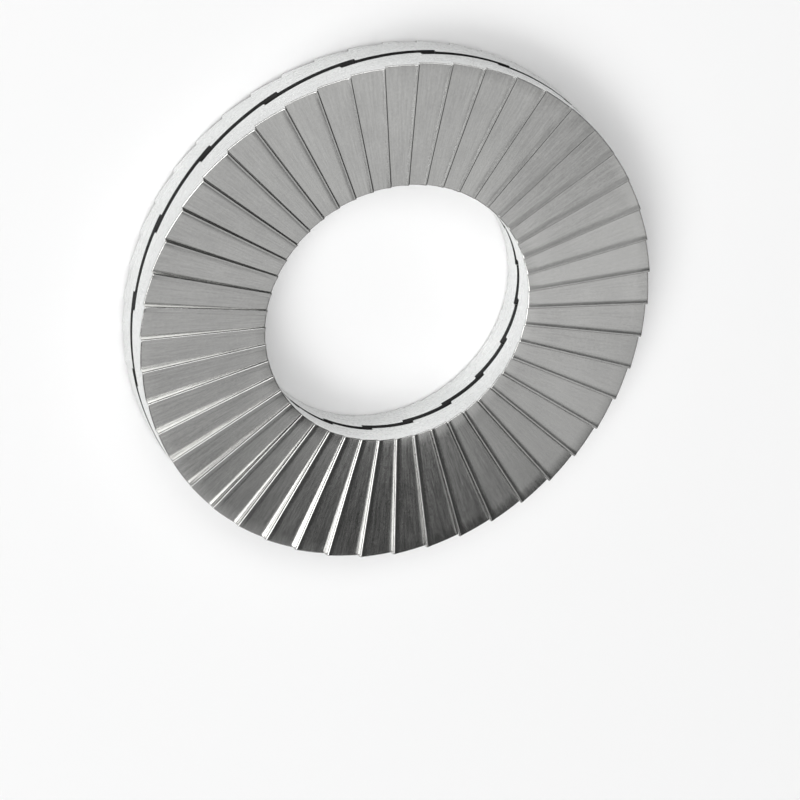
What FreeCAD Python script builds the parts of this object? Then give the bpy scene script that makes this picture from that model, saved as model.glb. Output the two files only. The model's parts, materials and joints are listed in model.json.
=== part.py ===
import FreeCAD, Part
import math
import os

# Wedge lock washer pair for an M10 bolt, in millimetres.
# Two equal washers lie cam face to cam face, with their toothed faces outward.
# The origin is the centre of the lower toothed face, and +Z runs along the bolt.

# The ring
OUTER_DIAMETER = 21.0
BORE_DIAMETER = 10.85
PAIR_HEIGHT = 2.5

# The radial teeth on the outward faces
TOOTH_COUNT = 47
TOOTH_DEPTH = 0.22
TOOTH_LAND = 0.2
TOOTH_FLANK_LEAN = 10.0

# The wedge cams on the inward faces
CAM_COUNT = 20
CAM_RISE = 0.15
CAM_LAND = 0.2

# The broken edges beside the cams, along the bolt and in from the wall
CAM_EDGE_HEIGHT = 0.1
CAM_EDGE_DEPTH = 0.2

# How the two washers lie on each other
CAM_FLANK_GAP = 0.7
BOND_FILM = 0.02

# How far a cutting shape runs past the metal that it cuts
OVERRUN = 0.5
# The length of a tooth groove's sides, as a multiple of the tooth's own
GROOVE_REACH = 1.05
# The sections that each cam ramp is drawn through
CAM_SECTIONS = 3

ORIGIN = FreeCAD.Vector(0, 0, 0)
UP = FreeCAD.Vector(0, 0, 1)
ACROSS = FreeCAD.Vector(1, 0, 0)

OUTER_RADIUS = OUTER_DIAMETER / 2
BORE_RADIUS = BORE_DIAMETER / 2
TOOTH_PITCH = 360.0 / TOOTH_COUNT
CAM_PITCH = 360.0 / CAM_COUNT


def rim_angle(length):
    """The angle in degrees that a length takes up at the rim."""
    return math.degrees(length / OUTER_RADIUS)


# The cam ramp climbs evenly with the angle, so its lead is the climb of a full turn.
CAM_LAND_ANGLE = rim_angle(CAM_LAND)
CAM_LEAD = CAM_RISE * 360.0 / (CAM_PITCH - CAM_LAND_ANGLE)
FLANK_GAP_ANGLE = rim_angle(CAM_FLANK_GAP)

# The ramps touch through the bond film, and open flanks lift one washer up the other.
RIDE_UP = CAM_LEAD * (FLANK_GAP_ANGLE + CAM_LAND_ANGLE) / 360.0
WASHER_HEIGHT = (PAIR_HEIGHT + CAM_RISE - RIDE_UP - BOND_FILM) / 2


def blank():
    """One plain ring with its cam side down at z = 0, where its edges are broken."""
    outline = [
        (BORE_RADIUS + CAM_EDGE_DEPTH, 0),
        (OUTER_RADIUS - CAM_EDGE_DEPTH, 0),
        (OUTER_RADIUS, CAM_EDGE_HEIGHT),
        (OUTER_RADIUS, WASHER_HEIGHT),
        (BORE_RADIUS, WASHER_HEIGHT),
        (BORE_RADIUS, CAM_EDGE_HEIGHT),
    ]
    points = [FreeCAD.Vector(r, 0, z) for r, z in outline + outline[:1]]
    ring = Part.Face(Part.makePolygon(points)).revolve(ORIGIN, UP, 360)
    # The seam of the turned faces lies between two flanks, where nothing crosses it.
    ring.rotate(ORIGIN, UP, TOOTH_PITCH / 2)
    return ring


def flat_face(corners):
    """A flat face through the corners, in order."""
    return Part.Face(Part.makePolygon(corners + corners[:1]))


def flat_sided_solid(inner, outer):
    """The solid between two outlines with as many corners each."""
    faces = [flat_face(inner), flat_face(outer)]
    for i in range(len(inner)):
        j = (i + 1) % len(inner)
        faces.append(flat_face([inner[i], inner[j], outer[j], outer[i]]))
    solid = Part.Solid(Part.Shell(faces))
    if solid.Volume < 0:
        solid.reverse()
    return solid


def tooth_gap():
    """The groove between the first two teeth.

    One side is a flat ramp, which starts along the first tooth's land. The other
    is the next tooth's flat flank. They meet TOOTH_DEPTH down at the rim, and
    nearer to the crests towards the bore.
    """
    pitch = math.radians(TOOTH_PITCH)
    lean = math.tan(math.radians(TOOTH_FLANK_LEAN))
    root_angle = pitch - math.asin(TOOTH_DEPTH * lean / OUTER_RADIUS)
    slope = TOOTH_DEPTH / (OUTER_RADIUS * math.sin(root_angle) - TOOTH_LAND)

    def corners(x):
        root_y = (x * math.sin(pitch) + slope * lean * TOOTH_LAND) / (
            math.cos(pitch) + slope * lean
        )
        land = FreeCAD.Vector(x, TOOTH_LAND, WASHER_HEIGHT)
        root = FreeCAD.Vector(x, root_y, WASHER_HEIGHT - slope * (root_y - TOOTH_LAND))
        crest = FreeCAD.Vector(x, x * math.tan(pitch), WASHER_HEIGHT)
        # Both sides go on a little above the face, so that the cut is clean.
        ramp_top = root + (land - root) * GROOVE_REACH
        flank_top = root + (crest - root) * GROOVE_REACH
        return [ramp_top, root, flank_top]

    return flat_sided_solid(corners(BORE_RADIUS - OVERRUN), corners(OUTER_RADIUS + OVERRUN))


def cam_gap():
    """The space under one cam ramp, with the broken edges beside it.

    Its section climbs evenly with the angle. It comes out of the crest where
    the land ends, and stops at the next steep flank.
    """
    flare = (CAM_EDGE_DEPTH + OVERRUN) * CAM_EDGE_HEIGHT / CAM_EDGE_DEPTH
    floor = -CAM_RISE - OVERRUN
    outline = [
        (BORE_RADIUS + CAM_EDGE_DEPTH, 0),
        (OUTER_RADIUS - CAM_EDGE_DEPTH, 0),
        (OUTER_RADIUS + OVERRUN, flare),
        (OUTER_RADIUS + OVERRUN, floor),
        (BORE_RADIUS - OVERRUN, floor),
        (BORE_RADIUS - OVERRUN, flare),
    ]
    points = [FreeCAD.Vector(r, 0, z) for r, z in outline + outline[:1]]
    first = CAM_LAND_ANGLE / 2
    sections = []
    for step in range(CAM_SECTIONS):
        angle = first + (CAM_PITCH - first) * step / (CAM_SECTIONS - 1)
        section = Part.makePolygon(points)
        section.rotate(ORIGIN, UP, angle)
        section.translate(UP * CAM_LEAD * (angle - CAM_LAND_ANGLE) / 360.0)
        sections.append(section)
    return Part.makeLoft(sections, True)


def around(shape, count):
    """Equal copies of a shape, spread evenly about the axis."""
    copies = []
    for i in range(count):
        copy = shape.copy()
        copy.rotate(ORIGIN, UP, i * 360.0 / count)
        copies.append(copy)
    return copies


def washer():
    """One washer with its teeth up and its cams down."""
    toothed = blank().cut(around(tooth_gap(), TOOTH_COUNT))
    return toothed.cut(around(cam_gap(), CAM_COUNT))


def upper_washer(one):
    """The washer that meets the bolt head or the nut."""
    upper = one.copy()
    upper.translate(FreeCAD.Vector(0, 0, PAIR_HEIGHT - WASHER_HEIGHT))
    return upper


def lower_washer(one):
    """The same washer turned over, clocked back so that its ramps lie on the other's."""
    lower = one.copy()
    lower.rotate(ORIGIN, ACROSS, 180)
    lower.rotate(ORIGIN, UP, -FLANK_GAP_ANGLE)
    lower.translate(FreeCAD.Vector(0, 0, WASHER_HEIGHT))
    return lower


def main():
    os.makedirs("parts", exist_ok=True)
    one = washer()
    pieces = {"upper_washer": upper_washer(one), "lower_washer": lower_washer(one)}
    for name, shape in pieces.items():
        shape.exportStep(os.path.join("parts", name + ".step"))
        print(name, "valid" if shape.isValid() else "NOT VALID", round(shape.Volume, 3), "mm3")


main()
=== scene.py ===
import bmesh
import bpy
import json
import math
import numpy as np
from mathutils import Matrix, Vector


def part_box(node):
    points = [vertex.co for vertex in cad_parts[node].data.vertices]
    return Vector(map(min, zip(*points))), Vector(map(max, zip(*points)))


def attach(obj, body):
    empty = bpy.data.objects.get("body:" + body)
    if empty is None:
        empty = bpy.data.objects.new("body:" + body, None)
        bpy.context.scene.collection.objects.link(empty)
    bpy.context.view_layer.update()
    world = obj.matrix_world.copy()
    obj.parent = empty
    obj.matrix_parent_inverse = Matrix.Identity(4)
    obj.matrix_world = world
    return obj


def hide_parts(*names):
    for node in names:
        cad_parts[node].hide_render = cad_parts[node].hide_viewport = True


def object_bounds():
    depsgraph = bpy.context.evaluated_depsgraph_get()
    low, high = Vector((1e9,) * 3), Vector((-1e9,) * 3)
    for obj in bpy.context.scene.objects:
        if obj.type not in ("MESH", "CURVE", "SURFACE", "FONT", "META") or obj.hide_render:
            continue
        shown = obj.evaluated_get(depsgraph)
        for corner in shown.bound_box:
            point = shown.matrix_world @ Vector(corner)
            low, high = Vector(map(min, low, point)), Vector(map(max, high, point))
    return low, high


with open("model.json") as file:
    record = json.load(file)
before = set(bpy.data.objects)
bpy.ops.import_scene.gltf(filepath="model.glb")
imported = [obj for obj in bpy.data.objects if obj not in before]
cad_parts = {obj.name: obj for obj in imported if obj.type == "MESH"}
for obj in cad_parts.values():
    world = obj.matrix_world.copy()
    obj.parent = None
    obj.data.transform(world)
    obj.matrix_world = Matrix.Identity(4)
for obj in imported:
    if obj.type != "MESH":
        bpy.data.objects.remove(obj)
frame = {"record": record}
cad_low, cad_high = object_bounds()

# Shapes are worked out in millimetres, and the scene is in metres
MM = 0.001

# The ring, from the frame
upper_low, upper_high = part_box("upper_washer")
mounts = {mount["name"]: mount for mount in frame["record"]["mounts"]}
OUTER_RADIUS = cad_high.x / MM
BORE_RADIUS = mounts["bore"]["dims"]["r_mm"]
PAIR_HEIGHT = cad_high.z / MM
WASHER_HEIGHT = (upper_high.z - upper_low.z) / MM

# The radial teeth on the outward faces
TOOTH_COUNT = 47
TOOTH_DEPTH = 0.22
TOOTH_FLANK_LEAN = 10.0
# A tooth's top falls away from the crest a little more steeply than its long ramp
TOP_WIDTH = 0.2
TOP_FALL = 0.055
# Where a tooth's section starts, as a share of its top
TOP_START = 0.5

# The wedge cams on the inward faces
CAM_COUNT = 20
CAM_RISE = 0.15
CAM_LAND = 0.2
CAM_FLANK_GAP = 0.7
CAM_EDGE_HEIGHT = 0.1
CAM_EDGE_DEPTH = 0.2

# How far each rounded corner reaches along its two sides
TOOTH_EDGE = 0.05
CREST_ROUND = 0.08
TOP_ROUND = 0.08
ROOT_ROUND = 0.015
CAM_ROUND = 0.02

# How finely the washers are divided, and the least angle that stays a sharp edge
CURVE_STEPS = 6
RAMP_STEPS = 10
CAM_STEPS = 20
FACE_STEPS = 10
SHARP_ANGLE = 35.0

# At the bore, only a cam's steep flank rises more than this between two columns of points
STEEP_RISE = CAM_RISE / 3

# The order of a washer's materials
TOOTH_FINISH = 0
WALL_FINISH = 1
# The cam faces' material is painted shade, which darkens the seam between the two washers
CAM_PAINTED_SHADE = 2

# The camera looks at this point on the upper toothed face, from this side and height
AIM = Vector((-2.668, -2.598, 2.5)) * MM
CAMERA_BEARING = 77.43
CAMERA_ELEVATION = 57.84
CAMERA_ROLL = 141.20
CAMERA_DISTANCE = 312.84 * MM
LENS = 360.0

# Each round softbox's name, bearing, elevation, width in metres and brightness
LAMPS = [
    ("key", 133, 58, 0.4, 3.2),
    ("side", 160, 50, 0.4, 3.2),
    ("front", 68, 56, 0.35, 2.8),
    ("front_right", 25, 56, 0.35, 2.3),
    ("overhead", 180, 84, 0.6, 0.35),
    ("back", 236, 60, 0.35, 0.27),
    ("back_left", 240, 48, 0.3, 0.3),
    ("back_right", 286, 60, 0.22, 0.6),
    ("back_low", 240, 22, 0.4, 0.4),
]
LAMP_DISTANCE = 0.6
WORLD_LEVEL = 0.05
FLOOR_COLOUR = 0.8
FLOOR_GLOW = 0.12
FLOOR_HALF = 3.0

# Each finish between its darkest and its lightest colour; the cams' near-black colours are
# painted shade in the seam between the two washers
TOOTH_COLOURS = ((0.52, 0.52, 0.51, 1), (0.68, 0.68, 0.665, 1))
WALL_COLOURS = ((0.7, 0.71, 0.705, 1), (0.84, 0.845, 0.84, 1))
CAM_PAINTED_SHADE_COLOURS = ((0.02, 0.02, 0.02, 1), (0.04, 0.04, 0.04, 1))

# Each finish's colours, its grain's scale round the ring to a radian and across the ring
# to a millimetre, and its least and greatest roughness
FINISHES_AND_PAINTED_SHADE = [
    ("tooth_steel", TOOTH_COLOURS, 60.0, 0.5, (0.16, 0.25)),
    ("wall_steel", WALL_COLOURS, 2.0, 14.0, (0.22, 0.34)),
    # The cam faces' near-black steel is painted shade in the seam between the two washers
    ("cam_steel", CAM_PAINTED_SHADE_COLOURS, 60.0, 0.5, (0.5, 0.6)),
]

# The noises in the steel: scale, detail and roughness
GRAIN_NOISE = (2.0, 3.0, 0.5)
FINE_NOISE = (9.0, 3.0, 0.6)
PATCH_NOISE = (0.35, 2.0, 0.5)
# The grain's share of the texture, and the texture's share of the tone
GRAIN_SHARE = 0.6
TEXTURE_SHARE = 0.7
# The part of each noise over which the tone and the roughness change
TONE_SPAN = (0.35, 0.65)
ROUGHNESS_SPAN = (0.3, 0.7)
# The grain's height, and how much of it the shading takes up
GRAIN_HEIGHT = 0.003
BUMP_STRENGTH = 0.35


def unit(vectors):
    return vectors / np.linalg.norm(vectors, axis=-1, keepdims=True)


def rounded_line(corners, reaches, straight_steps):
    """Points along a line whose inner corners are rounded, each as far as its reach.

    A corner's coordinates are its last axis, so that many lines are drawn at once.
    """
    points = []
    here = corners[0]
    for i, reach in enumerate(reaches):
        corner = corners[i + 1]
        enter = corner + unit(corners[i] - corner) * reach
        leave = corner + unit(corners[i + 2] - corner) * reach
        for k in range(straight_steps[i]):
            points.append(here + (enter - here) * k / straight_steps[i])
        for k in range(CURVE_STEPS):
            t = k / CURVE_STEPS
            points.append(enter * (1 - t) ** 2 + corner * 2 * t * (1 - t) + leave * t**2)
        here = leave
    for k in range(straight_steps[-1]):
        points.append(here + (corners[-1] - here) * k / straight_steps[-1])
    return np.array(points + [corners[-1]])


def tooth_line(radii):
    """The teeth's section from one top to the next, at each radius.

    It gives lengths round the circle, and heights from the crests.
    """
    pitch = radii * 2 * math.pi / TOOTH_COUNT
    lean = math.tan(math.radians(TOOTH_FLANK_LEAN))
    rim_pitch = OUTER_RADIUS * 2 * math.pi / TOOTH_COUNT
    slope = TOOTH_DEPTH / (rim_pitch - TOP_WIDTH - TOOTH_DEPTH * lean)
    depth = slope * (pitch - TOP_WIDTH) / (1 + slope * lean)

    def corner(length, height):
        return np.stack([length + 0 * radii, height + 0 * radii], -1)

    corners = [
        corner(TOP_WIDTH * TOP_START, -TOP_FALL * TOP_START),
        corner(TOP_WIDTH, -TOP_FALL),
        corner(pitch - depth * lean, -depth),
        corner(pitch, 0),
        corner(pitch + TOP_WIDTH * TOP_START, -TOP_FALL * TOP_START),
    ]
    reaches = [TOP_ROUND, ROOT_ROUND, CREST_ROUND]
    line = rounded_line(corners, reaches, [1, RAMP_STEPS, 1, 1])[:-1]
    return line[..., 0], line[..., 1]


def cam_line():
    """The cams' section from the middle of one top to the next, unrolled at the rim."""
    pitch = OUTER_RADIUS * 2 * math.pi / CAM_COUNT
    corners = [
        (CAM_LAND / 2, 0),
        (CAM_LAND, 0),
        (pitch - CAM_ROUND, CAM_RISE),
        (pitch, 0),
        (pitch + CAM_LAND / 2, 0),
    ]
    return rounded_line(np.array(corners), [CAM_ROUND] * 3, [1, CAM_STEPS, 1, 1])[:-1]


def tooth_rows():
    """Radii across the toothed face, and how far its rounded edges fall below it."""
    corners = [
        (BORE_RADIUS, TOOTH_EDGE),
        (BORE_RADIUS, 0),
        (OUTER_RADIUS, 0),
        (OUTER_RADIUS, TOOTH_EDGE),
    ]
    return rounded_line(np.array(corners), [TOOTH_EDGE] * 2, [0, FACE_STEPS, 0])


def cam_rows():
    """Radii across the cam face, and how far its broken edges lie above it."""
    top = CAM_EDGE_HEIGHT + CAM_ROUND
    corners = [
        (BORE_RADIUS, top),
        (BORE_RADIUS, CAM_EDGE_HEIGHT),
        (BORE_RADIUS + CAM_EDGE_DEPTH, 0),
        (OUTER_RADIUS - CAM_EDGE_DEPTH, 0),
        (OUTER_RADIUS, CAM_EDGE_HEIGHT),
        (OUTER_RADIUS, top),
    ]
    return rounded_line(np.array(corners), [CAM_ROUND] * 4, [0, 1, FACE_STEPS, 1, 0])


def all_around(angles, heights, rows, count):
    """Angles, radii and heights over a face, column by column, for all its repeats."""
    columns = len(angles)
    turns = np.repeat(np.arange(count), columns) * 2 * math.pi / count
    angles = np.tile(angles, (count, 1)) + turns[:, None]
    return angles, np.tile(rows, (count * columns, 1)), np.tile(heights, (count, 1))


def toothed_face():
    """Angles, radii and heights over the toothed face."""
    radii, falls = tooth_rows().T
    lengths, heights = tooth_line(radii)
    return all_around(lengths / radii, WASHER_HEIGHT + heights - falls, radii, TOOTH_COUNT)


def cam_face():
    """Angles, radii and heights over the cam face, whose cams rise from z = 0."""
    radii, lifts = cam_rows().T
    lengths, heights = cam_line().T
    angles = np.tile(lengths[:, None] / OUTER_RADIUS, (1, len(radii)))
    return all_around(angles, heights[:, None] + lifts, radii, CAM_COUNT)


def grid_faces(start, xyz, finish):
    """The faces over a grid of points, which are numbered from start, and their finishes."""
    columns, across = xyz.shape[:2]
    faces = []
    finishes = []
    for c in range(columns):
        following = (c + 1) % columns
        here, beside = start + c * across, start + following * across
        for r in range(across - 1):
            faces.append((here + r, beside + r, beside + r + 1, here + r + 1))
        steep = abs(xyz[following, 0, 2] - xyz[c, 0, 2]) > STEEP_RISE
        finishes += [WALL_FINISH if steep else finish] * (across - 1)
    return faces, finishes


def wall_faces(above, below):
    """Triangles between two closed loops of points, whose angles both rise by a turn."""

    def angle(loop, i):
        numbers, angles = loop
        return angles[i % len(numbers)] + 2 * math.pi * (i // len(numbers))

    upper, lower = above[0], below[0]
    faces = []
    i = j = 0
    while i < len(upper) or j < len(lower):
        a, b = upper[i % len(upper)], lower[j % len(lower)]
        upper_is_next = i < len(upper) and angle(above, i + 1) <= angle(below, j + 1)
        if j == len(lower) or upper_is_next:
            i += 1
            faces.append((a, b, upper[i % len(upper)]))
        else:
            j += 1
            faces.append((a, b, lower[j % len(lower)]))
    return faces


def washer_shape():
    """One washer's points, teeth up and cams on z = 0, its faces and their finishes."""
    points = []
    faces = []
    finishes = []
    ends = []
    for (angles, radii, heights), finish in (
        (toothed_face(), TOOTH_FINISH),
        (cam_face(), CAM_PAINTED_SHADE),
    ):
        start = len(points)
        columns, across = angles.shape
        xyz = np.stack([radii * np.cos(angles), radii * np.sin(angles), heights], -1)
        points.extend(xyz.reshape(-1, 3))
        new_faces, new_finishes = grid_faces(start, xyz, finish)
        faces += new_faces
        finishes += new_finishes
        first = start + np.arange(columns) * across
        ends.append([(first, angles[:, 0]), (first + across - 1, angles[:, -1])])
    for above, below in zip(*ends):
        wall = wall_faces(above, below)
        faces += wall
        finishes += [WALL_FINISH] * len(wall)
    return points, faces, finishes


def add_washer(name, node, placing, materials):
    """One washer in its place, which stands for its CAD node."""
    points, faces, finishes = washer_shape()
    mesh = bpy.data.meshes.new(name)
    mesh.from_pydata([Vector(p) for p in points], [], faces)
    mesh.transform(Matrix.Scale(MM, 4) @ placing)
    for material in materials:
        mesh.materials.append(material)
    mesh.polygons.foreach_set("material_index", finishes)
    shape = bmesh.new()
    shape.from_mesh(mesh)
    bmesh.ops.recalc_face_normals(shape, faces=shape.faces)
    shape.to_mesh(mesh)
    shape.free()
    mesh.shade_smooth()
    mesh.set_sharp_from_angle(angle=math.radians(SHARP_ANGLE))
    washer = bpy.data.objects.new(name, mesh)
    bpy.context.scene.collection.objects.link(washer)
    normals = washer.modifiers.new("normals", "WEIGHTED_NORMAL")
    normals.keep_sharp = True
    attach(washer, "root")
    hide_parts(node)


def direction(bearing, elevation):
    """The unit vector towards a bearing from +X and a height above the floor."""
    b, e = math.radians(bearing), math.radians(elevation)
    return Vector((math.cos(e) * math.cos(b), math.cos(e) * math.sin(b), math.sin(e)))


def add_camera():
    data = bpy.data.cameras.new("camera")
    data.lens = LENS
    data.clip_start = CAMERA_DISTANCE / 10
    data.clip_end = CAMERA_DISTANCE * 40
    camera = bpy.data.objects.new("camera", data)
    bpy.context.scene.collection.objects.link(camera)
    away = direction(CAMERA_BEARING, CAMERA_ELEVATION)
    turn = away.to_track_quat("Z", "Y").to_matrix().to_4x4()
    roll = Matrix.Rotation(math.radians(CAMERA_ROLL), 4, "Z")
    camera.matrix_world = Matrix.Translation(AIM + away * CAMERA_DISTANCE) @ turn @ roll
    bpy.context.scene.camera = camera


class Nodes:
    """A material's nodes, added and joined one at a time."""

    def __init__(self, name):
        self.material = bpy.data.materials.new(name)
        self.material.use_nodes = True
        self.tree = self.material.node_tree
        self.shader = self.tree.nodes["Principled BSDF"]

    def add(self, kind, inputs=(), **settings):
        node = self.tree.nodes.new(kind)
        for key, value in settings.items():
            setattr(node, key, value)
        for key, value in dict(inputs).items():
            self.put(node.inputs[key], value)
        return node

    def put(self, socket, value):
        if isinstance(value, bpy.types.NodeSocket):
            self.tree.links.new(value, socket)
        else:
            socket.default_value = value

    def maths(self, operation, *values):
        node = self.add("ShaderNodeMath", operation=operation)
        for socket, value in zip(node.inputs, values):
            self.put(socket, value)
        return node.outputs[0]

    def mixed(self, share, first, second):
        rest = self.maths("MULTIPLY", second, 1 - share)
        return self.maths("ADD", self.maths("MULTIPLY", first, share), rest)

    def between(self, value, span, out_span=(0.0, 1.0)):
        inputs = {"Value": value, 1: span[0], 2: span[1], 3: out_span[0], 4: out_span[1]}
        return self.add("ShaderNodeMapRange", inputs).outputs[0]

    def blend(self, share, first, second):
        node = self.add("ShaderNodeMix", {0: share, 6: first, 7: second}, data_type="RGBA")
        return node.outputs[2]

    def noise(self, vector, kind):
        scale, detail, roughness = kind
        inputs = {"Vector": vector, "Scale": scale, "Detail": detail, "Roughness": roughness}
        return self.add("ShaderNodeTexNoise", inputs).outputs["Fac"]

    def vector(self, operation, inputs):
        return self.add("ShaderNodeVectorMath", inputs, operation=operation)

    def scaled(self, vector, scale):
        return self.vector("SCALE", {0: vector, "Scale": scale}).outputs[0]


def steel(name, colours, round_scale, across_scale, roughness):
    """Bare stamped steel with a drawn grain and slow changes of tone, or, with near-black
    colours, painted shade that keeps the same grain.

    The grain is a noise over a vector that runs round the ring, and outward and up. It
    is drawn out across the ring if round_scale is large, and round the ring if it is
    small against across_scale.
    """
    n = Nodes(name)
    place = n.add("ShaderNodeTexCoord").outputs["Object"]
    split = n.add("ShaderNodeSeparateXYZ", {0: place})
    flat_inputs = {0: split.outputs[0], 1: split.outputs[1]}
    flat = n.add("ShaderNodeCombineXYZ", flat_inputs).outputs[0]
    radius = n.vector("LENGTH", {0: flat}).outputs["Value"]
    across = n.maths("DIVIDE", n.maths("ADD", radius, split.outputs[2]), MM)
    ring = n.scaled(n.vector("NORMALIZE", {0: flat}).outputs[0], round_scale)
    rise = n.add("ShaderNodeCombineXYZ", {2: n.maths("MULTIPLY", across, across_scale)})
    drawn = n.vector("ADD", {0: ring, 1: rise.outputs[0]}).outputs[0]
    millimetres = n.scaled(place, 1 / MM)

    grain = n.noise(drawn, GRAIN_NOISE)
    texture = n.mixed(GRAIN_SHARE, grain, n.noise(millimetres, FINE_NOISE))
    tone = n.mixed(TEXTURE_SHARE, texture, n.noise(millimetres, PATCH_NOISE))
    n.put(n.shader.inputs["Base Color"], n.blend(n.between(tone, TONE_SPAN), *colours))
    n.shader.inputs["Metallic"].default_value = 1.0
    n.put(n.shader.inputs["Roughness"], n.between(texture, ROUGHNESS_SPAN, roughness))
    relief = {"Strength": BUMP_STRENGTH, "Distance": GRAIN_HEIGHT * MM, "Height": texture}
    n.put(n.shader.inputs["Normal"], n.add("ShaderNodeBump", relief).outputs[0])
    return n.material


def add_floor():
    """A white floor that keeps the object's shadow, also in the metal's reflections."""
    mesh = bpy.data.meshes.new("floor")
    corners = [(-1, -1, 0), (1, -1, 0), (1, 1, 0), (-1, 1, 0)]
    mesh.from_pydata([Vector(c) * FLOOR_HALF for c in corners], [], [(0, 1, 2, 3)])
    floor = bpy.data.objects.new("floor", mesh)
    bpy.context.scene.collection.objects.link(floor)
    n = Nodes("floor")
    n.shader.inputs["Base Color"].default_value = (FLOOR_COLOUR, FLOOR_COLOUR, FLOOR_COLOUR, 1)
    n.shader.inputs["Roughness"].default_value = 1.0
    n.shader.inputs["Specular IOR Level"].default_value = 0.0
    n.shader.inputs["Emission Color"].default_value = (1, 1, 1, 1)
    rays = n.add("ShaderNodeLightPath")
    seen = n.maths("MAXIMUM", rays.outputs["Is Camera Ray"], rays.outputs["Is Glossy Ray"])
    seen = n.maths("MAXIMUM", seen, rays.outputs["Is Transmission Ray"])
    n.put(n.shader.inputs["Emission Strength"], n.maths("MULTIPLY", seen, FLOOR_GLOW))
    mesh.materials.append(n.material)


def add_lamp(name, bearing, elevation, width, brightness):
    """A round softbox, which looks as bright as a white surface if its brightness is 1."""
    data = bpy.data.lights.new(name, "AREA")
    data.shape = "DISK"
    data.size = width
    area = math.pi * width**2 / 4
    data.energy = brightness * math.pi * area
    lamp = bpy.data.objects.new(name, data)
    bpy.context.scene.collection.objects.link(lamp)
    away = direction(bearing, elevation)
    lamp.location = away * LAMP_DISTANCE
    lamp.rotation_euler = away.to_track_quat("Z", "Y").to_euler()


def add_world():
    world = bpy.data.worlds.new("studio")
    world.use_nodes = True
    background = world.node_tree.nodes["Background"]
    background.inputs["Color"].default_value = (1, 1, 1, 1)
    background.inputs["Strength"].default_value = WORLD_LEVEL
    bpy.context.scene.world = world


# The third material is painted shade: near-black steel on the cam faces, seen only in the seam
# between the washers
materials = [steel(*finish) for finish in FINISHES_AND_PAINTED_SHADE]
upper_place = Matrix.Translation((0, 0, PAIR_HEIGHT - WASHER_HEIGHT))
turned_over = Matrix.Rotation(math.pi, 4, "X")
clocked = Matrix.Rotation(-CAM_FLANK_GAP / OUTER_RADIUS, 4, "Z")
lower_place = Matrix.Translation((0, 0, WASHER_HEIGHT)) @ clocked @ turned_over
add_washer("upper_lock_washer", "upper_washer", upper_place, materials)
add_washer("lower_lock_washer", "lower_washer", lower_place, materials)

add_camera()
add_floor()
add_world()
for lamp in LAMPS:
    add_lamp(*lamp)
bpy.context.scene.view_settings.view_transform = "Standard"
